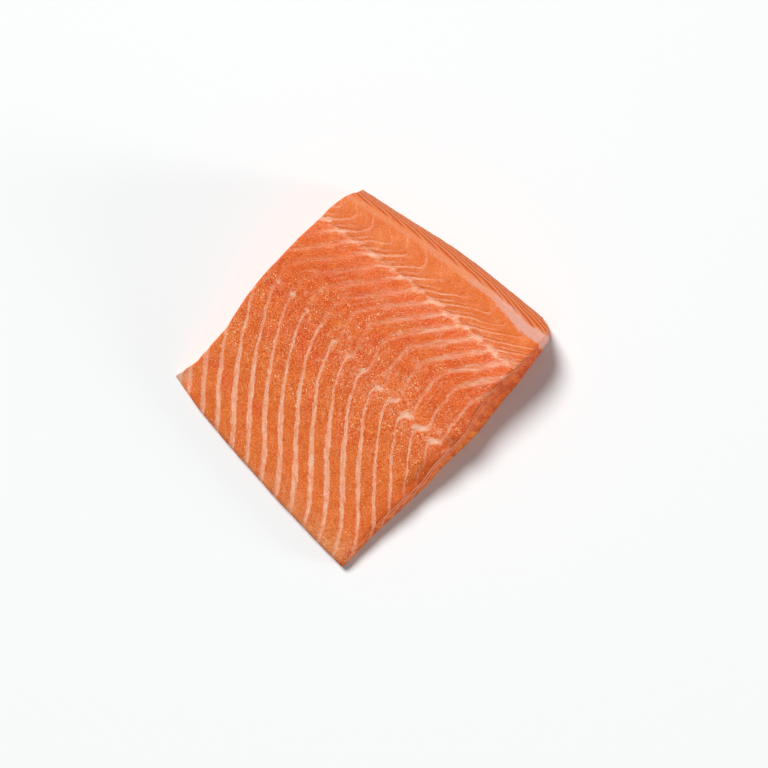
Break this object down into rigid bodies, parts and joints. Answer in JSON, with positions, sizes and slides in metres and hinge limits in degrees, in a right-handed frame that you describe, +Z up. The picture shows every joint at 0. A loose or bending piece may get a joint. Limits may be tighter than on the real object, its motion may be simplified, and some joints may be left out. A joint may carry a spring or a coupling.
{
  "type": "raw salmon fillet",
  "caption": "Thick portion of raw salmon fillet, flesh side up, with pale lines between its muscle flakes and a flat underside to rest on.",
  "frame": {"origin": "middle of the object's box, on the surface that it lies on", "axes": "+X runs along the fish, +Y from the thin belly edge to the thick back, +Z up out of the flesh side"},
  "size_m": [0.1457, 0.1635, 0.0304],
  "materials": {
    "raw_flesh": "moist raw flesh, softly glossy, orange with pale pink lines of fat"
  },
  "bodies": {
    "root": {"salmon_fillet": "raw_flesh"}
  },
  "joints": []
}
